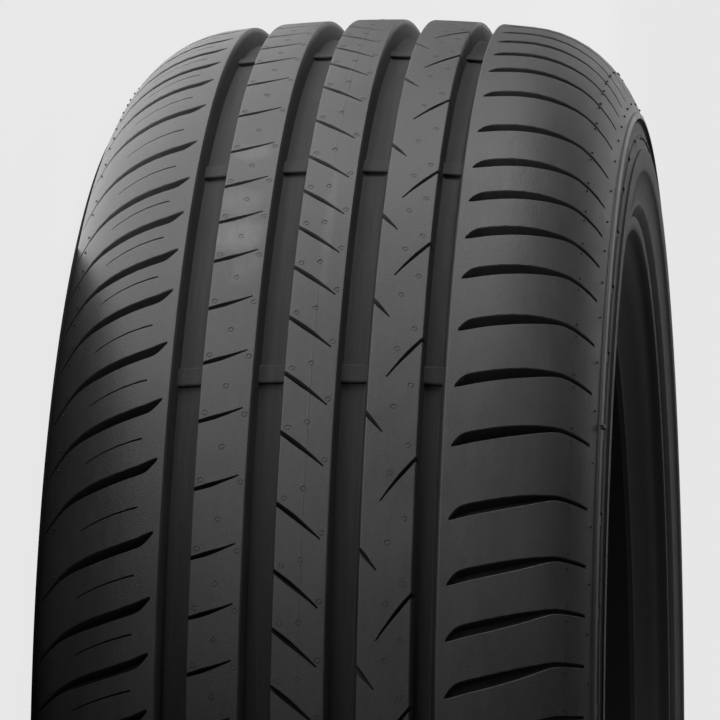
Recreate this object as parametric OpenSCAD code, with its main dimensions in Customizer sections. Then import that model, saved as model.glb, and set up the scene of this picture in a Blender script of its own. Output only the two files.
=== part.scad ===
/* [Size] */
// Overall diameter over the tread
tyre_d = 632; // [600:1:680]
// Width over both sidewalls
section_w = 214; // [200:1:228]
// Diameter of the bead seats, which grip a 16 inch rim
seat_d = 404.8; // [396:0.2:412]
// Distance between the outer faces of the two beads
bead_span = 178; // [165:1:190]

/* [Casing section] */
// Radius of the crown, seen across the tread
crown_r = 510; // [400:10:700]
// Radius of the shoulder
shoulder_r = 48; // [40:1:54]
// Radius of the upper sidewall
sidewall_r = 59; // [56:1:66]
// Angle at which the shoulder passes into the sidewall
shoulder_turn = 52; // [44:1:60]
// Radius of the lower sidewall
lower_r = 75; // [68:1:85]
// Wall at the crown, from rib top to inner liner
crown_wall = 15; // [13:0.5:18]
// Wall at the widest place of the casing
side_wall = 7; // [5.5:0.5:9]
// Width of the flat band on which the tyre lies
rest_band_w = 8; // [4:1:12]
// Length of sidewall between its widest place and the lip that ends the tread
edge_lip_drop = 17.5; // [15:0.5:20]
// Width of the lip's crest
edge_lip_w = 2.8; // [2:0.2:4]
// Height of the lip above the shoulder
edge_lip_h = 0.7; // [0.4:0.1:1.2]
// How far the sidewall lies below the shoulder outside the lip
panel_depth = 1.2; // [0.6:0.1:1.5]
// Gap between the lip and the fine ring outside it
ring_gap = 5; // [3:0.5:7]
// Width of the fine ring
ring_w = 1.2; // [0.8:0.1:2]

/* [Beads] */
// Width of the bead seat
seat_w = 14; // [10:1:16]
// Radius of the bead heel
heel_r = 3; // [2:0.5:5]
// How far the rim protector stands out from the sidewall
protector_h = 4; // [2:0.5:6]
// Width of the rim protector's crest
protector_w = 3; // [2:0.5:5]

/* [Grooves] */
// Middle of the outer left groove, from the middle of the tread
groove_1_at = -47.5; // [-50:0.1:-45]
// Middle of the inner left groove
groove_2_at = -16.3; // [-19:0.1:-14]
// Middle of the inner right groove
groove_3_at = 15.1; // [13:0.1:18]
// Middle of the outer right groove
groove_4_at = 45; // [43:0.1:47]
// Width of the three wide grooves at the rib tops
wide_groove_w = 11.8; // [10:0.1:13]
// Width of the narrow groove at the rib tops
narrow_groove_w = 9.3; // [8:0.1:11]
// Depth of the grooves
groove_depth = 8; // [7:0.1:8.5]
// Slope of a groove's walls, from upright
groove_taper = 8; // [2:1:12]
// Groups of wear bars round the tyre
bar_groups = 4; // [3:1:5]
// Wear bars in a group
bars_in_group = 3; // [1:1:3]
// Angle between the bars of a group
bar_step = 20.5; // [16:0.5:22]
// Height of a wear bar above the groove floor
wear_bar_h = 1.6; // [1.2:0.1:2.5]
// Length of a wear bar along the groove
wear_bar_l = 8; // [5:0.5:12]

/* [Tread pattern] */
// Share of a short pitch in the row of pitches
short_pitch = 5; // [4:0.5:6]
// Share of a medium pitch
medium_pitch = 6; // [5:0.5:7]
// Share of a long pitch
long_pitch = 7; // [6:0.5:8]
// Depth of a shoulder slot at its inner end
slot_depth = 7; // [5:0.5:7.5]
// Depth of a shoulder slot where it runs out
slot_end_depth = 1.2; // [0.8:0.1:2.5]
// Width of a slot where its tail starts
slot_tail_w = 1.7; // [1:0.1:2.2]
// Width of a slot at the end of its tail
slot_tip_w = 1.1; // [0.6:0.1:1.5]
// Depth of the sipes in the ribs
sipe_depth = 6; // [3:0.5:7]
// Width of a rib sipe where it opens into its groove
sipe_mouth_w = 1.9; // [0.8:0.1:2.4]
// Width of a sipe at its blind end
sipe_tip_w = 0.5; // [0.4:0.1:0.8]

/* [Hidden] */
$fn = 96;
rubber = [0.16, 0.16, 0.17];
tyre_r = tyre_d / 2;
half_w = section_w / 2;
seat_r = seat_d / 2;

// The outside of the section is three arcs on each side, which meet without a corner. Angles are turned
// from the radial direction. Points are [distance from the axis, distance from the middle of the tread].
function beside(centre, r, turn) = centre + r * [cos(turn), sin(turn)];
function arc(centre, r, from, to, steps) =
    [for (i = [0 : steps]) beside(centre, r, from + (to - from) * i / steps)];
function edge_turn(half, crown, shoulder, side, turn) =
    asin((half - side + (side - shoulder) * sin(turn)) / (crown - shoulder));
crown_turn = edge_turn(half_w, crown_r, shoulder_r, sidewall_r, shoulder_turn);
crown_c = [tyre_r - crown_r, 0];
crown_edge = beside(crown_c, crown_r, crown_turn);
shoulder_c = beside(crown_edge, -shoulder_r, crown_turn);
sidewall_c = beside(shoulder_c, shoulder_r - sidewall_r, shoulder_turn);
widest_r = sidewall_c[0];

// Length along the arcs from the middle of the tread to where the next arc starts
crown_s = crown_r * crown_turn * PI / 180;
shoulder_s = crown_s + shoulder_r * (shoulder_turn - crown_turn) * PI / 180;
widest_s = shoulder_s + sidewall_r * (90 - shoulder_turn) * PI / 180;

// The turn that a length takes up on an arc
function degrees(length, r) = length / r * 180 / PI;
// The point that lies s along the outside of the section, and sunk below it by depth
function skin(s, depth = 0) =
    s < 0 ? [skin(-s, depth)[0], -skin(-s, depth)[1]] :
    s < crown_s ? beside(crown_c, crown_r - depth, degrees(s, crown_r)) :
    s < shoulder_s ? beside(shoulder_c, shoulder_r - depth, crown_turn + degrees(s - crown_s, shoulder_r)) :
    beside(sidewall_c, sidewall_r - depth, shoulder_turn + degrees(s - shoulder_s, sidewall_r));

// A row of points over a raised ring of the sidewall that starts at s, from one side's depth to the other's
edge_slope = 0.8;
function ring(s, w, h, before, after) =
    let (crest = s + edge_slope)
    [skin(s, before), skin(crest, -h), skin(crest + w, -h), skin(crest + w + edge_slope, after)];
lip_s = widest_s - edge_lip_drop - edge_lip_w / 2 - edge_slope;
ring_s = lip_s + edge_lip_w + edge_slope * 2 + ring_gap;
ring_end_s = ring_s + ring_w + edge_slope * 2;

// The lower sidewall turns back in to the bead
lower_from = 8;
lower_turn = 28;
lower_c = [widest_r, half_w - lower_r];
lower_end = beside(lower_c, lower_r, 90 + lower_turn);
protector_slope = 5;
protector_rise_turn = 13;
seat_out = bead_span / 2 - heel_r;
seat_in = seat_out - seat_w;

// The liner follows the outside within the walls, on smaller radii
crown_inset = 40;
shoulder_inset = 14;
side_inset = 7;
liner_crown_r = crown_r - crown_inset;
liner_shoulder_r = shoulder_r - shoulder_inset;
liner_side_r = sidewall_r - side_inset;
liner_half_w = half_w - side_wall;
liner_turn = 52;
liner_edge_turn = edge_turn(liner_half_w, liner_crown_r, liner_shoulder_r, liner_side_r, liner_turn);
liner_crown_c = [tyre_r - crown_wall - liner_crown_r, 0];
liner_shoulder_c = beside(liner_crown_c, liner_crown_r - liner_shoulder_r, liner_edge_turn);
liner_side_c = beside(liner_shoulder_c, liner_shoulder_r - liner_side_r, liner_turn);
liner_lower_turn = 48;
liner_lower_c = [liner_side_c[0], liner_half_w - liner_side_r];
liner_step = 9;
toe_h = 1.5;

// The liner's lower arc is drawn along the axis to where it meets the bead, this far in from the bead's face
liner_end_inset = 6.2052;
liner_lower_steps = 6;
liner_pull = bead_span / 2 - liner_end_inset - beside(liner_lower_c, liner_side_r, 90 + liner_lower_turn)[1];
function liner_lower(i) =
    beside(liner_lower_c, liner_side_r, 90 + liner_lower_turn * i / liner_lower_steps)
        + [0, liner_pull * pow(i / liner_lower_steps, 2)];

// Pitches round the tread, as letters for short, medium and long. They differ so that the tyre runs quietly.
near_pitches = "SSMLMMMSSSMLMSSS";
far_pitches = "MLLMSSMLMSSMLMMS";
pitches = str(near_pitches, far_pitches, far_pitches, far_pitches, far_pitches);
first_pitch_at = 15.4;
left_shift = 0.8;
first_bar_at = 39.2;
function pitch_share(i) =
    pitches[i] == "S" ? short_pitch :
    pitches[i] == "M" ? medium_pitch : long_pitch;
pitch_starts = [for (i = 0, at = 0; i < len(pitches); at = at + pitch_share(i), i = i + 1) at];
pitch_total = pitch_starts[len(pitches) - 1] + pitch_share(len(pitches) - 1);
function pitch_angle(i, phase) =
    first_pitch_at + 360 * (pitch_starts[i] + phase * pitch_share(i)) / pitch_total;

function reversed(points) = [for (i = [len(points) - 1 : -1 : 0]) points[i]];
function mirrored(points) = [for (p = reversed(points)) [p[0], -p[1]]];

// A groove's four corners, from its right edge to its left edge
function groove(at, w) =
    let (top = skin(at), half = w / 2, floor_half = half - groove_depth * tan(groove_taper))
    [skin(at + half), top + [-groove_depth, floor_half], top + [-groove_depth, -floor_half], skin(at - half)];

// One side of the casing from the shoulder to the bead, outside. The shoulder's arc begins beyond the
// tread's outer groove, which ends at tread_end.
shoulder_steps = 5;
function side_out(tread_end) = concat(
    [for (i = [0 : shoulder_steps])
        let (s = crown_s + (shoulder_s - crown_s) * i / shoulder_steps)
        if (s > tread_end) skin(s)],
    [skin((shoulder_s + lip_s) / 2)],
    ring(lip_s, edge_lip_w, edge_lip_h, 0, panel_depth),
    ring(ring_s, ring_w, -panel_depth / 2, panel_depth, panel_depth),
    [skin((ring_end_s + widest_s) / 2, panel_depth / 2)],
    [[widest_r + rest_band_w / 2, half_w], [widest_r - rest_band_w / 2, half_w]],
    arc(lower_c, lower_r, 90 + lower_from, 90 + lower_turn - protector_rise_turn, 3),
    [lower_end + [protector_w + protector_slope, protector_h], lower_end + [protector_slope, protector_h]],
    [lower_end],
    arc([seat_r + heel_r, seat_out], heel_r, 90, 180, 3),
    [[seat_r, seat_in]]);

// The same side inside, from the toe of the bead back to the crown
side_in = concat(
    [[seat_r + toe_h, seat_in - toe_h]],
    [for (i = [liner_lower_steps : -1 : 0]) liner_lower(i)],
    reversed(arc(liner_side_c, liner_side_r, liner_turn + liner_step, 90 - liner_step, 2)),
    reversed(arc(liner_shoulder_c, liner_shoulder_r, liner_edge_turn, liner_turn, 5)));

tread = concat(
    groove(groove_4_at, narrow_groove_w),
    groove(groove_3_at, wide_groove_w),
    groove(groove_2_at, wide_groove_w),
    groove(groove_1_at, wide_groove_w));

right_end = groove_4_at + narrow_groove_w / 2;
left_end = wide_groove_w / 2 - groove_1_at;
module section() polygon(concat(reversed(side_out(right_end)), tread, mirrored(reversed(side_out(left_end))),
    mirrored(reversed(side_in)), [beside(liner_crown_c, liner_crown_r, 0)], reversed(side_in)));

// Turns what is drawn at the middle of the tread's front to an angle up the tread
module up_the_tread(angle) rotate(-90 - angle) children();

// A cutter with a flat floor through the points a and b of the section. The outline's points are
// [place across the tread, place up the tread].
cutter_h = 20;
module tread_cut(outline, a, b) {
    along = (b - a) / norm(b - a);
    points = [for (p = outline) [-p[1] * skin(p[0])[0] / tyre_r, (skin(p[0]) - a) * along]];
    translate([a[0], 0, a[1]]) rotate([0, atan2(along[0], along[1]), 0]) rotate([90, 0, 90])
        linear_extrude(cutter_h) polygon(points);
}

// The outline of a slit between two points, whose width may change along it
function slit(a, b, w_a, w_b) =
    let (along = (b - a) / norm(b - a), out = [-along[1], along[0]] / 2)
    [a - out * w_a, b - out * w_b, b + out * w_b, a + out * w_a];

module rib_sipe(mouth, tip) {
    left = min(mouth[0], tip[0]);
    right = max(mouth[0], tip[0]);
    tread_cut(slit(mouth, tip, sipe_mouth_w, sipe_tip_w), skin(left, sipe_depth), skin(right, sipe_depth));
}

module shoulder_slot(outline, tail, tail_end) {
    tail_cut = slit(tail, tail_end, slot_tail_w, slot_tip_w);
    tread_cut(outline, skin(outline[0][0], slot_depth), skin(tail[0], slot_end_depth));
    tread_cut(tail_cut, skin(tail[0], slot_end_depth * 2), skin(tail_end[0], slot_end_depth));
}

module right_slot()
    shoulder_slot([[53, 0], [70, 4.6], [82, 8.6], [98, 14.6], [98, 16.4], [82, 12.4], [70, 9.2], [57, 5.6]],
        [96, 15.2], [113.6, 17]);

module left_slot()
    mirror([0, 0, 1]) shoulder_slot([[56, 0], [63, -2.8], [80, -7], [90, -9.4], [99, -12.8], [99, -14.6],
        [88, -12], [80, -10.8], [61, -5.8]], [97, -13.2], [113, -18.7]);

thin_sipe_w = 0.6;
module thin_sipe()
    mirror([0, 0, 1])
        tread_cut(slit([63, 0], [87, -6.3], thin_sipe_w, thin_sipe_w), skin(63, 2), skin(87, 1));

module pattern() {
    for (i = [0 : len(pitches) - 1]) {
        up_the_tread(pitch_angle(i, 0)) right_slot();
        up_the_tread(pitch_angle(i, 0) - left_shift) left_slot();
        up_the_tread(pitch_angle(i, 0.33) - left_shift) thin_sipe();
        up_the_tread(pitch_angle(i, 0.4)) rib_sipe([-43, -0.4], [-25, 5.2]);
        up_the_tread(pitch_angle(i, 0.18)) rib_sipe([-12, 1.4], [6.3, -13.8]);
        if (i % 2 == 0)
            up_the_tread(pitch_angle(i, 0.5)) rib_sipe([19.5, 2], [27.3, -7.6]);
        else
            up_the_tread(pitch_angle(i, 0.8)) rib_sipe([41.5, 1.8], [27.7, -17]);
    }
}

bar_root = 2;
module wear_bar(at, w) {
    root_r = skin(at)[0] - groove_depth - bar_root;
    translate([root_r, -wear_bar_l / 2, skin(at)[1] - w / 2]) cube([bar_root + wear_bar_h, wear_bar_l, w]);
}

module wear_bars() {
    for (group = [0 : bar_groups - 1], bar = [0 : bars_in_group - 1])
        up_the_tread(first_bar_at + group * 360 / bar_groups + bar * bar_step) {
            wear_bar(groove_1_at, wide_groove_w);
            wear_bar(groove_2_at, wide_groove_w);
            wear_bar(groove_3_at, wide_groove_w);
            wear_bar(groove_4_at, narrow_groove_w);
        }
}

module tyre() {
    color(rubber) difference() {
        union() {
            rotate_extrude() section();
            wear_bars();
        }
        pattern();
    }
}

tyre();
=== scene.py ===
import math

import bpy
import numpy as np
from mathutils import Matrix, Vector


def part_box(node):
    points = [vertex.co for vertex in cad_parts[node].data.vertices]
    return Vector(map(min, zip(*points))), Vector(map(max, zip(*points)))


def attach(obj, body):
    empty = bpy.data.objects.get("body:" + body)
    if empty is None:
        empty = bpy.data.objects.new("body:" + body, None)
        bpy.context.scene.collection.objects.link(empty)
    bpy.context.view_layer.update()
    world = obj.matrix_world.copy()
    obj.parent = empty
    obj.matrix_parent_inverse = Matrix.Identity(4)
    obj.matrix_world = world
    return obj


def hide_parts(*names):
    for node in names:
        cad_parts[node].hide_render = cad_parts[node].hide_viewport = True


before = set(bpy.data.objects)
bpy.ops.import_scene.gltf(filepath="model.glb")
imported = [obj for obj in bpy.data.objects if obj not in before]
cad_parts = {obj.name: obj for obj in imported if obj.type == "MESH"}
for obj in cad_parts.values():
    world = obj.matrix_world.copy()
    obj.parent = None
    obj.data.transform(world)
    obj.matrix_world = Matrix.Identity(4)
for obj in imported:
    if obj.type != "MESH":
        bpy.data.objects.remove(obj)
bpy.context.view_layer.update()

low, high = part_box("tyre")

# Sizes are in millimetres and angles in degrees. The scene is in metres.
MM = 0.001
STEPS_ROUND = 180
SKIN_STEP = 6
MOULD_LINE_H = 0.12
TYRE_R = min(high.x, high.y, -low.x, -low.y) / MM - MOULD_LINE_H
HALF_W = high.z / MM

# The outside of the section, three arcs on each side that meet without a corner
CROWN_R = 510
SHOULDER_R = 48
SIDEWALL_R = 59
LOWER_R = 75
SHOULDER_TURN = 52
LOWER_TURN = 28
GROOVE_DEPTH = 8
WIDE_GROOVE_W = 11.8
NARROW_GROOVE_W = 9.3
GROOVES = [(-47.5, WIDE_GROOVE_W), (-16.3, WIDE_GROOVE_W), (15.1, WIDE_GROOVE_W), (45, NARROW_GROOVE_W)]
LIP_S = 122
TREAD_END = LIP_S - 2
BAND_HALF = 4
SEAT_R = 202.4
BEAD_HALF = 89
SEAT_IN = 72

# What the section has on those arcs, as (s along the outside, depth)
GROOVE_WALL = [(-0.6, 0), (-0.2, 0.12), (0, 0.5), (0.95, 6.6), (1.35, 7.6), (2.2, GROOVE_DEPTH)]
MOULD_LINE = [(-0.9, 0), (-0.6, -MOULD_LINE_H), (-0.4, -MOULD_LINE_H), (-0.1, 0)]
LIP = [(-2.2, 0), (-1.8, -0.1), (-1.5, -0.55), (-1.2, -0.7), (1.1, -0.7), (1.4, -0.4), (1.8, 0.8), (2.6, 1.3)]
SIDE_RING = [(6, 1.4), (7.6, 1.2), (8, 0.6), (9, 0.6), (9.4, 1.1), (13.8, 0.6)]
# The sunk panel on the lower arc, as (turn, depth)
LOWER_PANEL = [(94.5, 0.0), (95.0, 0.4), (99, 0.5), (104, 0.5), (104.6, 0.1), (105.6, 0.0)]
# The rim protector from the end of the lower arc, and then the bead, as (radius, height)
PROTECTOR = [(11, 3.9), (9.4, 4.0), (8, 4.0), (6, 3.9), (5, 3.5), (3.6, 1.8), (1.6, 0.3), (-2, -1.0),
    (-8, -4.2)]
BEAD = [(SEAT_R + 4, BEAD_HALF), (SEAT_R + 1.4, BEAD_HALF - 0.9), (SEAT_R, BEAD_HALF - 3), (SEAT_R, SEAT_IN),
    (SEAT_R + 1.5, SEAT_IN - 1.5)]

# The inside of the section
CROWN_WALL = 15
SIDE_WALL = 7
LINER_CROWN_R = CROWN_R - 40
LINER_SHOULDER_R = SHOULDER_R - 14
LINER_SIDE_R = SIDEWALL_R - SIDE_WALL
LINER_LOWER_FROM = 138
LINER_SIDE_FROM = 78
LINER_SHOULDER_FROM = 38

# The row of pitches round the tread
PITCHES = "SSMLMMMSSSMLMSSS" + 4 * "MLLMSSMLMSSMLMMS"
PITCH_SHARE = {"S": 5, "M": 6, "L": 7}
FIRST_PITCH_AT = 15.4
LEFT_SHIFT = 0.8


def turned(centre, r, turn):
    """The point at r from a centre, turned from the radial direction towards the sidewall."""
    a = math.radians(turn)
    return (centre[0] + r * math.cos(a), centre[1] + r * math.sin(a))


def crown_edge_turn(half, crown, shoulder, side, turn):
    """The turn at which the crown's arc meets the shoulder's, in a section of this half width."""
    rise = half - side + (side - shoulder) * math.sin(math.radians(turn))
    return math.degrees(math.asin(rise / (crown - shoulder)))


CROWN_TURN = crown_edge_turn(HALF_W, CROWN_R, SHOULDER_R, SIDEWALL_R, SHOULDER_TURN)
CROWN_C = (TYRE_R - CROWN_R, 0)
SHOULDER_C = turned(CROWN_C, CROWN_R - SHOULDER_R, CROWN_TURN)
SIDEWALL_C = turned(SHOULDER_C, SHOULDER_R - SIDEWALL_R, SHOULDER_TURN)
WIDEST_R = SIDEWALL_C[0]
CROWN_S = CROWN_R * math.radians(CROWN_TURN)
SHOULDER_S = CROWN_S + SHOULDER_R * math.radians(SHOULDER_TURN - CROWN_TURN)


def arc_at(s):
    """The centre, radius and turn of the arc at s along the outside, for s of 0 or more."""
    if s < CROWN_S:
        return CROWN_C, CROWN_R, math.degrees(s / CROWN_R)
    if s < SHOULDER_S:
        return SHOULDER_C, SHOULDER_R, CROWN_TURN + math.degrees((s - CROWN_S) / SHOULDER_R)
    return SIDEWALL_C, SIDEWALL_R, SHOULDER_TURN + math.degrees((s - SHOULDER_S) / SIDEWALL_R)


def skin(s, depth=0.0):
    """(radius, height) of the point at s along the outside of the section, sunk below it by depth."""
    centre, r, turn = arc_at(abs(s))
    radius, height = turned(centre, r - depth, turn)
    return radius, math.copysign(height, s)


def turn_at(s):
    """The turn in radians of the point at s along the outside, about the middle of its arc."""
    return math.radians(arc_at(s)[2])


def on_tyre(s, angle, depth=0.0):
    """A point in metres, at an angle up the tread from its front."""
    radius, height = skin(s, depth)
    a = math.radians(-90 - angle)
    return (radius * math.cos(a) * MM, radius * math.sin(a) * MM, height * MM)


def up(u):
    """The angle that a length u up the tread takes."""
    return math.degrees(u / TYRE_R)


def make_mesh(name, points, faces):
    """A mesh of these points and faces, as an object of the scene."""
    mesh = bpy.data.meshes.new(name)
    mesh.from_pydata([tuple(p) for p in points], [], faces)
    mesh.update()
    piece = bpy.data.objects.new(name, mesh)
    bpy.context.scene.collection.objects.link(piece)
    return piece


# The camera at the photograph's viewing angle, placed in tyre radii
FITTED_R = 0.316
CAMERA_AT = Vector((-1.31995, -7.35937, 0.81619)) * FITTED_R
CAMERA_PAN = 6.5867
CAMERA_TILT = -5.8986
CAMERA_ROLL = -0.9072
CAMERA_LENS = 284.13
CAMERA_SENSOR_W = 36
CAMERA_CLIP_END = 100


def add_camera():
    """A camera rolled a quarter turn, because the tyre lies on its side."""
    pan, tilt, roll = (math.radians(a) for a in (CAMERA_PAN, CAMERA_TILT, CAMERA_ROLL))
    ahead = Vector((-math.sin(tilt), math.cos(pan) * math.cos(tilt), -math.sin(pan) * math.cos(tilt)))
    level_right = Vector((0, math.sin(pan), math.cos(pan)))
    level_up = ahead.cross(level_right) * -1
    right = math.cos(roll) * level_right + math.sin(roll) * level_up
    above = math.cos(roll) * level_up - math.sin(roll) * level_right
    data = bpy.data.cameras.new("camera")
    data.sensor_width = CAMERA_SENSOR_W
    data.lens = CAMERA_LENS
    data.clip_end = CAMERA_CLIP_END
    camera = bpy.data.objects.new("camera", data)
    turn = Matrix((right, above, -ahead)).transposed().to_4x4()
    camera.matrix_world = Matrix.Translation(CAMERA_AT) @ turn
    bpy.context.scene.collection.objects.link(camera)
    bpy.context.scene.camera = camera


add_camera()


def groove_profile(at, w):
    """A groove's section from its left edge to its right edge, as (s, depth)."""
    edge = at - w / 2
    far = at + w / 2
    return [(edge + s, d) for s, d in GROOVE_WALL] + [(far - s, d) for s, d in reversed(GROOVE_WALL)]


def spread(start, end):
    """Places on the skin between two ends, no further apart than a step, without the ends."""
    count = max(1, math.ceil((end - start) / SKIN_STEP))
    return [(start + (end - start) * i / count, 0) for i in range(1, count)]


def tread_profile():
    """The tread from the left lip to the right lip, as (s, depth)."""
    points = []
    edge = -TREAD_END
    for at, w in GROOVES:
        groove = groove_profile(at, w)
        if edge < 0 < groove[0][0]:
            points += spread(edge, MOULD_LINE[0][0]) + MOULD_LINE
            edge = MOULD_LINE[-1][0]
        points += spread(edge, groove[0][0]) + groove
        edge = groove[-1][0]
    return points + spread(edge, TREAD_END)


def lower_profile():
    """The lower sidewall and the bead from the widest place to the toe, as (radius, height)."""
    band = [(WIDEST_R + BAND_HALF, HALF_W), (WIDEST_R - BAND_HALF, HALF_W)]
    centre = (WIDEST_R, HALF_W - LOWER_R)
    panel = [turned(centre, LOWER_R - depth, turn) for turn, depth in LOWER_PANEL]
    end = turned(centre, LOWER_R, 90 + LOWER_TURN)
    return band + panel + [(end[0] + r, end[1] + h) for r, h in PROTECTOR] + BEAD


def liner_profile():
    """The inside from the bead's toe to the crown, without its middle, as (radius, height)."""
    crown, shoulder, side = LINER_CROWN_R, LINER_SHOULDER_R, LINER_SIDE_R
    half = HALF_W - SIDE_WALL
    turn = crown_edge_turn(half, crown, shoulder, side, SHOULDER_TURN)
    crown_c = (TYRE_R - CROWN_WALL - crown, 0)
    shoulder_c = turned(crown_c, crown - shoulder, turn)
    side_c = turned(shoulder_c, shoulder - side, SHOULDER_TURN)
    lower_c = (side_c[0], half - side)
    lower = [turned(lower_c, side, a) for a in np.linspace(LINER_LOWER_FROM, 90, 5)]
    upper = [turned(side_c, side, a) for a in np.linspace(LINER_SIDE_FROM, SHOULDER_TURN, 3)]
    bend = [turned(shoulder_c, shoulder, a) for a in np.linspace(LINER_SHOULDER_FROM, turn, 3)]
    return lower + upper + bend + [turned(crown_c, crown, turn / 2)]


def section_profile():
    """The whole section as a closed row of (radius, height)."""
    upper = [skin(LIP_S + s, d) for s, d in LIP + SIDE_RING] + lower_profile()
    under = [(r, -h) for r, h in reversed(upper)]
    outside = under + [skin(*p) for p in tread_profile()] + upper
    side = liner_profile()
    inside = side + [(TYRE_R - CROWN_WALL, 0)] + [(r, -h) for r, h in reversed(side)]
    return outside + inside


def blank_tyre():
    """The tyre with its main grooves, turned round its axis."""
    profile = section_profile()
    count = len(profile)
    points = []
    for i in range(STEPS_ROUND):
        a = math.tau * i / STEPS_ROUND
        points += [(r * math.cos(a) * MM, r * math.sin(a) * MM, h * MM) for r, h in profile]
    faces = []
    for i in range(STEPS_ROUND):
        here, there = i * count, (i + 1) % STEPS_ROUND * count
        for j in range(count):
            k = (j + 1) % count
            faces.append((here + j, there + j, there + k, here + k))
    return make_mesh("tyre_blank", points, faces)


class Shells:
    """Closed shells gathered into one mesh."""

    def __init__(self):
        self.points = []
        self.faces = []

    def loft(self, sections):
        """A closed shell through sections that have as many points each."""
        start, count = len(self.points), len(sections[0])
        for section in sections:
            self.points += section
        for k in range(len(sections) - 1):
            here, there = start + k * count, start + (k + 1) * count
            for j in range(count):
                i = (j + 1) % count
                self.faces.append((here + j, here + i, there + i, there + j))
        self.faces.append(tuple(reversed(range(start, start + count))))
        last = start + (len(sections) - 1) * count
        self.faces.append(tuple(range(last, last + count)))

    def build(self, name):
        """One object of all the shells, with every face turned outwards."""
        piece = make_mesh(name, self.points, self.faces)
        bpy.context.view_layer.objects.active = piece
        piece.select_set(True)
        bpy.ops.object.mode_set(mode="EDIT")
        bpy.ops.mesh.select_all(action="SELECT")
        bpy.ops.mesh.normals_make_consistent(inside=False)
        bpy.ops.object.mode_set(mode="OBJECT")
        piece.select_set(False)
        return piece


def through(points, steps):
    """A smooth row of points through the given ones, with steps between each two."""
    row = np.array([points[0]] + list(points) + [points[-1]], float)
    smooth = []
    for a, b, c, d in zip(row, row[1:], row[2:], row[3:]):
        square, cube = 2 * a - 5 * b + 4 * c - d, 3 * b - a - 3 * c + d
        for t in np.arange(steps) / steps:
            smooth.append(0.5 * (2 * b + (c - a) * t + square * t**2 + cube * t**3))
    return smooth + [row[-1]]


# Cutters start this far above the skin
OVER = 0.5
# A cut narrows by this share of its depth, up to a share of its width, and rounds its foot by another share
WALL_DRAFT = 0.05
MOST_DRAFT = 0.25
FOOT_ROUNDING = 0.1
SLOT_CHAMFER = 0.35
SIPE_CHAMFER = 0.12
SIPE_STEPS = 6
WIDTHS_AT = (0, 0.4, 1)

# Shoulder slots, as (s, u of the lower wall, u of the upper wall, depth)
RIGHT_SLOT = [
    (53, 0, 0.5, 4), (54.6, 0.3, 3.0, 6), (57, 1.0, 5.4, 6.8), (61, 2.2, 6.9, 7.2), (70, 4.7, 9.3, 7.5),
    (81, 8.4, 12.3, 6.5), (90, 12.1, 14.6, 4.5), (96, 14.3, 16.1, 3.2), (104, 15.3, 16.9, 2.6),
    (113.6, 16.4, 17.5, 2)]
LEFT_SLOT = [
    (56, -0.6, 0, 4), (57.6, -2.6, -0.4, 6), (60, -5.2, -1.4, 6.8), (63, -6.6, -2.6, 7.2),
    (71, -8.8, -4.9, 7.5), (81, -11.2, -7.2, 6.5), (90, -12.7, -9.6, 4.5), (97, -14.3, -12.1, 3),
    (105, -17.1, -15.7, 2.2), (113, -19.3, -18.3, 1.6)]

# Sipes, as (share of the pitch, mouth, tip, widths, depth at the mouth, depth at the tip, bow). The mouth and
# the tip are (s, u), and the widths are those of the mouth, the middle and the tip.
SHORT_SIPE = (0.4, (-42.8, -0.4), (-25, 5.2), (1.5, 1.9, 0.5), 6, 3, -0.35)
MIDDLE_SIPE = (0.18, (-11.4, 0.9), (6.3, -13.8), (1.6, 2.0, 0.6), 6, 4, 0.3)
NOTCH = (0.5, (20, 1.4), (27.3, -7.6), (1.6, 1.7, 0.5), 5, 3, 0)
LONG_SIPE = (0.8, (41.2, 1.4), (27.7, -17), (1.3, 1.5, 0.5), 6, 3, -0.4)
THIN_SIPE = (0.33, (62.5, 0.2), (87, -6.3), (0.7, 0.6, 0.4), 3, 1, 0.35)

# A vent is a fine ring sunk in a rib, through rows of (radius, depth)
VENT = [(1.35, -0.3), (1.3, 0), (1.15, 0.2), (0.85, 0.2), (0.6, 0.03)]
VENT_SIDES = 8
# Where the vents are in a pitch, as (s, share of the pitch, u)
RIB_VENTS = [
    (-39.3, 0.4, 3.4), (-32, 0.9, 2), (-24.2, 0.4, 2.2), (-7.6, 0.18, 2), (-0.6, 0.58, -6),
    (6.8, 0.18, -11.5), (31, 0.5, 3), (37, 0.95, 1)]

# Gaps cut in the ring on the sidewall, with their corners as (s from the lip, depth)
RING_GAPS = 46
RING_GAP_HALF = 3
RING_GAP = [(6.8, -0.3), (6.8, 1.25), (10, 1.25), (10, -0.3)]


def cut(shells, stations, angle, side, chamfer):
    """A slot along stations of (s of one wall, u of it, s of the other, u of it, depth)."""
    sections = []
    for sa, ua, sb, ub, depth in stations:
        w = math.hypot(sb - sa, ub - ua)
        es, eu = (sb - sa) / w, (ub - ua) / w
        foot = min(WALL_DRAFT * depth, w * MOST_DRAFT) + w * FOOT_ROUNDING
        across = [(-(chamfer + OVER), -OVER), (0, chamfer), (foot, depth)]
        across += [(w - a, d) for a, d in reversed(across)]
        sections.append([on_tyre(side * (sa + es * a), angle + up(ua + eu * a), d) for a, d in across])
    shells.loft(sections)


def slot_stations(slot):
    """Stations of a shoulder slot, smoothed along its length."""
    return [(s, a, s, b, depth) for s, a, b, depth in through(slot, 2)]


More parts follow.
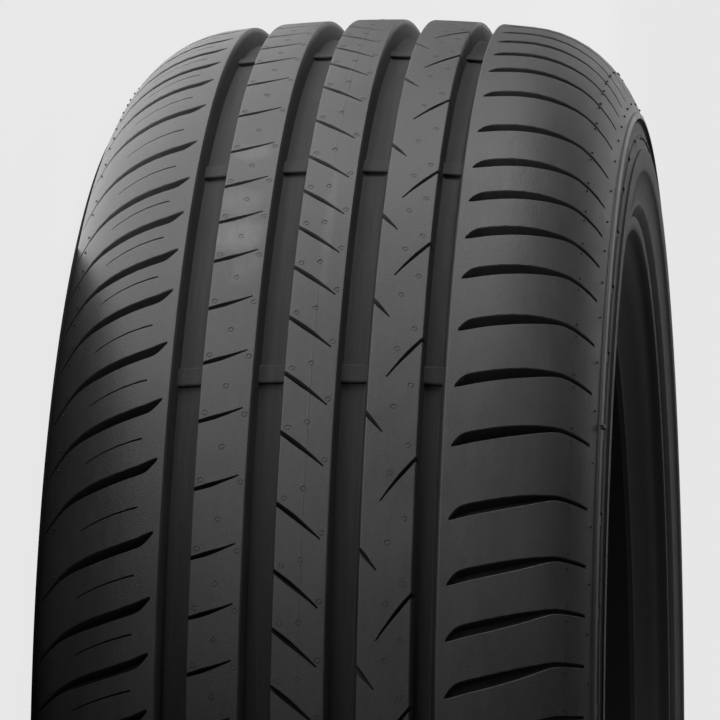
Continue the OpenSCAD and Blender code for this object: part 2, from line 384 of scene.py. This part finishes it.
def sipe_stations(mouth, tip, widths, mouth_depth, tip_depth, bow):
    """Stations of a sipe from its mouth to its tip, bowed to one side."""
    mouth, tip = np.array(mouth, float), np.array(tip, float)
    along = (tip - mouth) / np.linalg.norm(tip - mouth)
    out = np.array([-along[1], along[0]])
    stations = []
    for t in np.linspace(0, 1, SIPE_STEPS):
        middle = mouth + (tip - mouth) * t + out * bow * 4 * t * (1 - t)
        half = np.interp(t, WIDTHS_AT, widths) / 2
        wall, other = middle - out * half, middle + out * half
        stations.append((*wall, *other, mouth_depth + (tip_depth - mouth_depth) * t))
    return stations


def cut_sipe(shells, sipe, angle, pitch, side=1):
    """A sipe in the pitch that starts at angle."""
    share, *line = sipe
    cut(shells, sipe_stations(*line), angle + share * pitch, side, SIPE_CHAMFER)


def pitch_angles():
    """The start and the length of each pitch round the tread."""
    total = sum(PITCH_SHARE[p] for p in PITCHES)
    angle = FIRST_PITCH_AT
    for p in PITCHES:
        pitch = 360 * PITCH_SHARE[p] / total
        yield angle, pitch
        angle += pitch


def round_detail(shells, s, angle, rows, sides):
    """A round detail on the skin, through rows of (radius, depth)."""
    turns = [math.tau * k / sides for k in range(sides)]
    ring = [(math.cos(a), math.sin(a)) for a in turns]
    shells.loft([[on_tyre(s + r * c, angle + up(r * t), d) for c, t in ring] for r, d in rows])


def slots_and_sipes():
    """Everything that is cut into the tread and the sidewalls' ring."""
    shells = Shells()
    right, left = slot_stations(RIGHT_SLOT), slot_stations(LEFT_SLOT)
    for i, (angle, pitch) in enumerate(pitch_angles()):
        cut(shells, right, angle, 1, SLOT_CHAMFER)
        cut(shells, left, angle - LEFT_SHIFT, -1, SLOT_CHAMFER)
        cut_sipe(shells, THIN_SIPE, angle - LEFT_SHIFT, pitch, -1)
        cut_sipe(shells, SHORT_SIPE, angle, pitch)
        cut_sipe(shells, MIDDLE_SIPE, angle, pitch)
        cut_sipe(shells, NOTCH if i % 2 == 0 else LONG_SIPE, angle, pitch)
        for s, share, u in RIB_VENTS:
            round_detail(shells, s, angle + share * pitch + up(u), VENT, VENT_SIDES)
    for i in range(RING_GAPS):
        angle = 360 * i / RING_GAPS
        ends = (-RING_GAP_HALF, RING_GAP_HALF)
        shells.loft([[on_tyre(LIP_S + s, angle + up(u), d) for s, d in RING_GAP] for u in ends])
    return shells.build("slots_and_sipes")


# Wear bars in the grooves
BAR_ANGLES = [39.2 + 90 * group + 20.5 * bar for group in range(4) for bar in range(3)]
BAR_H = 1.6
BAR_L = 8
BAR_INSET = 0.4
BAR_EDGE = 0.3
BAR_ROOT = 1

# Moulding stubs on the shoulders, through rows of (radius, depth), and their places as (s, u)
STUB = [(0.55, 0.6), (0.45, -0.5)]
STUB_SIDES = 5
SHOULDER_STUBS = [(101.5, 13), (101.7, 19.4), (116.5, 10.5), (-102.5, -11.8), (-103.5, -20.4)]

# A mould segment ends here, with a nub of flash on the lip
SEGMENT_AT = 38.7
NUB = [(1.5, 0.6), (1.3, -1.3), (0.8, -1.9)]
NUB_S = LIP_S - 0.4
NUB_SIDES = 6


def wear_bar(shells, at, w, angle):
    """A raised bar across a groove, rooted in its walls and floor."""
    half = w / 2 - BAR_INSET
    top = GROOVE_DEPTH - BAR_H
    rows = [(-0.5, GROOVE_DEPTH + BAR_ROOT), (-0.5, top + BAR_EDGE), (-0.42, top)]
    rows += [(-share, depth) for share, depth in reversed(rows)]
    ends = (at - half, at + half)
    shells.loft([[on_tyre(s, angle + up(share * BAR_L), depth) for share, depth in rows] for s in ends])


def moulded_details():
    """Everything that stands out from the grooves and the shoulders."""
    shells = Shells()
    for angle in BAR_ANGLES:
        for at, w in GROOVES:
            wear_bar(shells, at, w, angle)
    for angle, _ in pitch_angles():
        for s, u in SHOULDER_STUBS:
            shift = LEFT_SHIFT if s < 0 else 0
            round_detail(shells, s, angle - shift + up(u), STUB, STUB_SIDES)
    round_detail(shells, NUB_S, SEGMENT_AT, NUB, NUB_SIDES)
    return shells.build("moulded_details")


def combine(piece, other, operation):
    """Cuts other from piece, or joins it to piece, for good."""
    step = piece.modifiers.new("combine", "BOOLEAN")
    step.operation = operation
    step.solver = "MANIFOLD"
    step.object = other
    whole = bpy.data.meshes.new_from_object(piece.evaluated_get(bpy.context.evaluated_depsgraph_get()))
    piece.modifiers.clear()
    piece.data = whole
    bpy.data.objects.remove(other)


SHARP_ANGLE = 30
PARALLEL = math.cos(math.radians(8))


def read(items, name, width, kind=float):
    """One attribute of all the items of a mesh, as an array."""
    values = np.zeros(len(items) * width, kind)
    items.foreach_get(name, values)
    return values.reshape(-1, width) if width > 1 else values


def smooth_by_section(mesh):
    """Shades what runs along the skin by the section's own arcs, so that the cuts in it leave no creases."""
    mesh.shade_smooth()
    mesh.set_sharp_from_angle(angle=math.radians(SHARP_ANGLE))
    normals = read(mesh.corner_normals, "vector", 3)
    at = read(mesh.loops, "vertex_index", 1, int)
    x, y, z = (read(mesh.vertices, "co", 3)[at] / MM).T
    sizes = read(mesh.polygons, "loop_total", 1, int)
    flats = np.repeat(read(mesh.polygons, "normal", 3), sizes, axis=0)
    radius, height = np.hypot(x, y), np.abs(z)
    arcs = [(CROWN_C, -1, CROWN_TURN), (SHOULDER_C, CROWN_TURN, SHOULDER_TURN)]
    arcs.append((SIDEWALL_C, SHOULDER_TURN, 90))
    for centre, from_turn, to_turn in arcs:
        out, across = radius - centre[0], height - centre[1]
        turn = np.degrees(np.arctan2(across, out))
        round_skin = np.stack([x / radius * out, y / radius * out, np.sign(z) * across], 1)
        round_skin /= np.linalg.norm(round_skin, axis=1)[:, None]
        on_arc = (turn >= from_turn) & (turn <= to_turn)
        along = (np.sum(round_skin * flats, axis=1) > PARALLEL) & on_arc
        normals[along] = round_skin[along]
    mesh.normals_split_custom_set([tuple(n) for n in normals])


class Wire:
    """A shader socket that adds Math nodes when values are worked out from it."""

    def __init__(self, finish, socket):
        self.finish = finish
        self.socket = socket

    def _math(self, operation, a, b=None):
        values = {0: a} if b is None else {0: a, 1: b}
        return self.finish.node("ShaderNodeMath", {"operation": operation}, values)

    def __add__(self, other): return self._math("ADD", self, other)
    def __radd__(self, other): return self._math("ADD", other, self)
    def __sub__(self, other): return self._math("SUBTRACT", self, other)
    def __rsub__(self, other): return self._math("SUBTRACT", other, self)
    def __mul__(self, other): return self._math("MULTIPLY", self, other)
    def __rmul__(self, other): return self._math("MULTIPLY", other, self)
    def __pow__(self, other): return self._math("POWER", self, other)
    def __lt__(self, other): return self._math("LESS_THAN", self, other)
    def __abs__(self): return self._math("ABSOLUTE", self)


class Finish:
    """A material whose nodes are made from Python expressions."""

    def __init__(self, name):
        self.material = bpy.data.materials.new(name)
        self.material.use_nodes = True
        self.tree = self.material.node_tree
        self.tree.nodes.clear()
        self.output = self.tree.nodes.new("ShaderNodeOutputMaterial")

    def node(self, kind, settings=None, inputs=None, out=0):
        """A node of this kind with its settings, then its sockets' values or links. Gives one output."""
        made = self.tree.nodes.new(kind)
        for name, value in (settings or {}).items():
            setattr(made, name, value)
        for name, value in (inputs or {}).items():
            if isinstance(value, Wire):
                self.tree.links.new(value.socket, made.inputs[name])
            else:
                made.inputs[name].default_value = value
        return Wire(self, made.outputs[out])

    def place(self):
        return self.node("ShaderNodeTexCoord", out="Object")

    def noise(self, scale, detail, roughness, at=None):
        sockets = {"Vector": at or self.place(), "Scale": scale, "Detail": detail, "Roughness": roughness}
        return self.node("ShaderNodeTexNoise", {}, sockets)

    def patches(self, scale, detail, roughness, low, high, at=None):
        """Noise stretched so that low and below is 0, and high and above is 1."""
        return self.between(self.noise(scale, detail, roughness, at), low, high)

    def turn(self, out, across):
        """The angle of a place turned from the direction out towards the direction across."""
        return self.node("ShaderNodeMath", {"operation": "ARCTAN2"}, {0: across, 1: out})

    def between(self, value, low, high, to_low=0.0, to_high=1.0):
        """Value stretched from low..high to to_low..to_high, and held there."""
        sockets = {"Value": value, "From Min": low, "From Max": high, "To Min": to_low, "To Max": to_high}
        return self.node("ShaderNodeMapRange", {}, sockets)

    def mix(self, factor, a, b):
        return self.node("ShaderNodeMix", {"data_type": "RGBA"}, {0: factor, 6: a, 7: b}, out=2)

    def show(self, shader):
        self.tree.links.new(shader.socket, self.output.inputs["Surface"])
        return self.material


def grey(value, tint=0.0):
    """A grey, with its blue raised by the share tint."""
    return (value, value, value * (1 + tint), 1)


# The rubber's greys: bare tops and the bloom on them, the light grey of the painted sheen and highlight, the
# grooves darkened as painted shade, the sidewall darker partly as painted shade, and the lip's painted shadow
# on the sunk panel
BARE_TOP = grey(0.024, 0.02)
BLOOM = grey(0.057, 0.02)
# Painted sheen and highlight: this light grey stands in for the light's shine on glossy places and on the lip
PAINTED_HIGHLIGHT_GREY = grey(0.14, 0.02)
# Painted shade: the grooves' walls and floors are darkened for the shade that falls in them
GROOVE_SHADE_DARK = grey(0.008)
GROOVE_SHADE_LIGHT = grey(0.021)
# Partly painted shade: the sidewall has no bloom, and its grey is darkened for the shade it lies in
SIDEWALL_SHADED_GREY = grey(0.026)
# Painted shadow: the lip's shadow on the sunk panel beside it, painted nearly black
PANEL_PAINTED_SHADOW = grey(0.005)
RUBBER_ROUGHNESS = 0.57
BUMP_STRENGTH = 0.4
BUMP_DISTANCE = 0.0003

# Noise, as (scale, detail, roughness), and for patches also the values that become 0 and 1
GRAIN = (1400, 2, 0.6)
CLOUDS = (75, 5, 0.6, 0.35, 0.65)
WIDE_CLOUDS = (16, 3, 0.5, 0.35, 0.65)
BLOTCHES = (120, 6, 0.7, 0.4, 0.6)
SPECKS = (650, 2, 0.5, 0.6, 0.72)
TOOL_MARKS = (520, 3, 0.6, 0.4, 0.62)
# Clouds are short across the ribs, and tool marks are long round the tread
CLOUD_SQUEEZE = (1, 1, 3.5)
TOOL_MARK_STRETCH = 0.012

# Where the grooves' painted shade and duller finish start and are full below the skin, and how far out the
# grooves reach
GROOVE_SHADE_AND_DULL_DEPTHS = (0.8 * MM, 2.5 * MM)
GROOVED_HALF = 55
# Where the sidewall's grey, darker partly as painted shade, and the painted shadow in its sunk panel are none
# and full, and half the lip's width
SIDEWALL_FINISH = (LIP_S + 1.1, LIP_S + 1.5)
PANEL_SHADOW_SPAN = (LIP_S + 7.5, LIP_S + 6)
LIP_HALF = 1.3
# The lip gets a painted highlight, weaker below the end of the mould segment than above it
LIP_HIGHLIGHT_RANGE = (0.35, 0.9)
SEGMENT_EDGE = 0.3

# Polished places on the ribs, glossier and with a painted sheen: (s, angle up the tread, half length, half
# width, strength)
POLISH_AND_SHEEN_PLACES = [
    (-33, 60, 6, 8, 0.4), (-35, 54.2, 9, 10, 0.4), (-34, 50.7, 9, 11, 0.8), (-29, 47.5, 8, 7, 0.3),
    (-38, 47.2, 5, 4, -0.6), (1, 51.5, 34, 2, 0.3)]
# Their edges: how ragged, and from where to where they fade in, in half sizes squared
RAGGED = 0.6
POLISH_AND_SHEEN_FADE = (1.6, 0.6)
# How much of the gloss and painted sheen is everywhere in such a place, and how much only in its clouds and
# blotches
EVEN_POLISH_AND_SHEEN = 0.45
CLOUD_POLISH_AND_SHEEN = 0.3
BLOTCH_POLISH_AND_SHEEN = 0.25

# How much clouds, wide clouds, specks and grain add to the bloom
CLOUD_BLOOM = 0.3
WIDE_CLOUD_BLOOM = 0.35
SPECK_BLOOM = 0.2
GRAIN_BLOOM = 0.4
GRAIN_RANGE = (0.3, 0.7)
# How far the painted sheen goes towards its light grey
SHEEN_SHARE = 0.6
# How much each changes the roughness
POLISH_GLOSS = 0.16
CLOUD_ROUGHNESS = 0.06
GRAIN_ROUGHNESS = 0.1
GROOVE_ROUGHNESS = 0.2
SIDEWALL_ROUGHNESS = 0.12
# How high the clouds stand against the grain
CLOUD_RELIEF = 0.3


def polish_and_sheen_mask(finish, x, y, z, clouds, blotches):
    """How glossy the ribs are, and how much painted sheen they get, from 0 to 1, in places with ragged edges.
    """
    polish_and_sheen = 0
    for s, angle, half_length, half_width, strength in POLISH_AND_SHEEN_PLACES:
        px, py, pz = on_tyre(s, angle)
        along = ((x - px) * (x - px) + (y - py) * (y - py)) * (1 / (half_length * MM) ** 2)
        across = (z - pz) * (z - pz) * (1 / (half_width * MM) ** 2)
        polish_and_sheen = polish_and_sheen + finish.between(along + across + blotches * RAGGED, *POLISH_AND_SHEEN_FADE) * strength
    return finish.between(polish_and_sheen, 0, 1) * (clouds * CLOUD_POLISH_AND_SHEEN + blotches * BLOTCH_POLISH_AND_SHEEN + EVEN_POLISH_AND_SHEEN)


def rubber():
    """Moulded rubber: satin rib tops with a cloudy bloom, glossier places with a painted sheen, a lip with a
    painted highlight, and duller grooves and side darkened with painted shade and shadow.
    """
    finish = Finish("tread_rubber")
    place = finish.place()
    x, y, z = (finish.node("ShaderNodeSeparateXYZ", {}, {0: place}, out=k) for k in range(3))
    radius = (x * x + y * y) ** 0.5
    out = radius - CROWN_C[0] * MM
    depth = CROWN_R * MM - (out * out + z * z) ** 0.5
    # Painted shade in the grooves, by depth below the skin; the same mask also makes them rougher
    groove = finish.between(depth, *GROOVE_SHADE_AND_DULL_DEPTHS) * (abs(z) < GROOVED_HALF * MM)
    turn = finish.turn(radius - SIDEWALL_C[0] * MM, abs(z) - SIDEWALL_C[1] * MM)
    # The sidewall, whose grey is darkened partly as painted shade; it is also rougher
    sidewall = finish.between(turn, *(turn_at(s) for s in SIDEWALL_FINISH))
    # Painted shadow of the lip on the sunk panel between the lip and the ring
    panel = sidewall * finish.between(turn, *(turn_at(s) for s in PANEL_SHADOW_SPAN))
    lip = finish.between(abs(turn - turn_at(LIP_S)), turn_at(LIP_S + LIP_HALF) - turn_at(LIP_S), 0)

    squeezed = finish.node("ShaderNodeMapping", {}, {"Vector": place, "Scale": CLOUD_SQUEEZE})
    clouds = finish.patches(*CLOUDS, squeezed)
    wide_clouds = finish.patches(*WIDE_CLOUDS)
    blotches = finish.patches(*BLOTCHES)
    specks = finish.patches(*SPECKS)
    grain = finish.noise(*GRAIN)
    angle_up = finish.turn(-1 * y, -1 * x)
    round_the_tread = finish.node("ShaderNodeCombineXYZ", {}, {0: z, 1: angle_up * TOOL_MARK_STRETCH})
    tool_marks = finish.patches(*TOOL_MARKS, round_the_tread)
    # Gloss for the roughness, and also where the painted sheen is mixed into the colour
    polish_and_sheen = polish_and_sheen_mask(finish, x, y, z, clouds, blotches)

    bloom = clouds * CLOUD_BLOOM + wide_clouds * WIDE_CLOUD_BLOOM + specks * SPECK_BLOOM
    bloom = bloom + finish.between(grain, *GRAIN_RANGE) * GRAIN_BLOOM
    segment_end = (math.radians(SEGMENT_AT - SEGMENT_EDGE), math.radians(SEGMENT_AT + SEGMENT_EDGE))
    # Painted highlight: a bright line along the lip, weaker below the end of the mould segment
    lip_highlight = lip * finish.between(angle_up, *segment_end, *LIP_HIGHLIGHT_RANGE)
    # The tops get the painted sheen and the lip's painted highlight here
    tops = finish.mix(polish_and_sheen * SHEEN_SHARE + lip_highlight, finish.mix(bloom, BARE_TOP, BLOOM), PAINTED_HIGHLIGHT_GREY)
    # The grooves' painted shade, varied by clouds and tool marks
    groove_shade_greys = finish.mix(clouds * 0.5 + tool_marks * 0.5, GROOVE_SHADE_DARK, GROOVE_SHADE_LIGHT)
    # Painted shade and shadow: the grooves, the sidewall and the sunk panel beside the lip
    dull_and_shaded = finish.mix(sidewall, groove_shade_greys, finish.mix(panel, SIDEWALL_SHADED_GREY, PANEL_PAINTED_SHADOW))
    colour = finish.mix(finish.between(groove + sidewall, 0, 1), tops, dull_and_shaded)
    rough = RUBBER_ROUGHNESS - polish_and_sheen * POLISH_GLOSS
    rough = rough + (clouds - 0.5) * CLOUD_ROUGHNESS + (grain - 0.5) * GRAIN_ROUGHNESS
    rough = rough + groove * GROOVE_ROUGHNESS + sidewall * SIDEWALL_ROUGHNESS
    relief = {"Strength": BUMP_STRENGTH, "Distance": BUMP_DISTANCE, "Height": grain + clouds * CLOUD_RELIEF}
    bump = finish.node("ShaderNodeBump", {}, relief)
    sockets = {"Base Color": colour, "Roughness": rough, "Normal": bump}
    return finish.show(finish.node("ShaderNodeBsdfPrincipled", {}, sockets))


def make_tyre():
    """The dressed tyre, in place of the part's own solid."""
    tyre = blank_tyre()
    combine(tyre, slots_and_sipes(), "DIFFERENCE")
    combine(tyre, moulded_details(), "UNION")
    tyre.name = "moulded_tyre"
    tyre.data.name = "moulded_tyre"
    smooth_by_section(tyre.data)
    tyre.data.materials.clear()
    tyre.data.materials.append(rubber())
    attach(tyre, "root")
    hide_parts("tyre")


FLOOR_SIZE = 40
FLOOR_COLOUR = grey(0.9)
FLOOR_PAINT = grey(0.5)
# How much of the floor's plain colour the camera sees. The rest is paint, with the tyre's shadow on it.
FLOOR_PLAIN_SHARE = 0.88


def make_floor():
    """A plain pale floor that keeps its shadows."""
    half = FLOOR_SIZE / 2
    corners = [(-half, -half, low.z), (half, -half, low.z), (half, half, low.z), (-half, half, low.z)]
    floor = make_mesh("floor", corners, [(0, 1, 2, 3)])
    finish = Finish("floor_paint")
    backdrop = finish.node("ShaderNodeEmission", {}, {"Color": FLOOR_COLOUR, "Strength": 1.0})
    paint = finish.node("ShaderNodeBsdfDiffuse", {}, {"Color": FLOOR_PAINT})
    seen = finish.node("ShaderNodeLightPath", out="Is Camera Ray")
    sockets = {0: seen * FLOOR_PLAIN_SHARE, 1: paint, 2: backdrop}
    floor.data.materials.append(finish.show(finish.node("ShaderNodeMixShader", {}, sockets)))


# The studio's lamps, as (name, place, what it faces, width and height, watts). The low one is on the floor.
LAMPS = [
    ("softbox_above", (-2.36, 0.45, 0.25), (0, 0, 0), (1.1, 0.9), 27.5),
    ("softbox_side", (-2.0, -1.1, 2.2), (0, 0, 0), (0.8, 0.8), 8.5),
    ("softbox_behind", (-0.7, 2.8, 0.7), (0, 0, 0), (1.4, 1.0), 8.8),
    ("softbox_over", (-0.5, 2.5, 1.6), (0, 0, 0), (0.9, 0.7), 7),
    ("softbox_low", (-0.46, -0.25, low.z + 0.004), (-0.46, -0.25, 1), (0.45, 1.3), 4.2)]
WORLD_STRENGTH = 0.063


def add_lamp(name, at, aim, size, power):
    """A softbox that the camera doesn't see."""
    data = bpy.data.lights.new(name, "AREA")
    data.shape = "RECTANGLE"
    data.size, data.size_y = size
    data.energy = power
    lamp = bpy.data.objects.new(name, data)
    lamp.location = at
    lamp.rotation_euler = (Vector(aim) - Vector(at)).to_track_quat("-Z", "Y").to_euler()
    lamp.visible_camera = False
    bpy.context.scene.collection.objects.link(lamp)


def light_scene():
    """The lamps and a dim world."""
    for lamp in LAMPS:
        add_lamp(*lamp)
    world = bpy.data.worlds.new("studio")
    world.use_nodes = True
    world.node_tree.nodes["Background"].inputs["Color"].default_value = grey(1.0)
    world.node_tree.nodes["Background"].inputs["Strength"].default_value = WORLD_STRENGTH
    bpy.context.scene.world = world


make_tyre()
make_floor()
light_scene()
bpy.context.scene.view_settings.view_transform = "Standard"
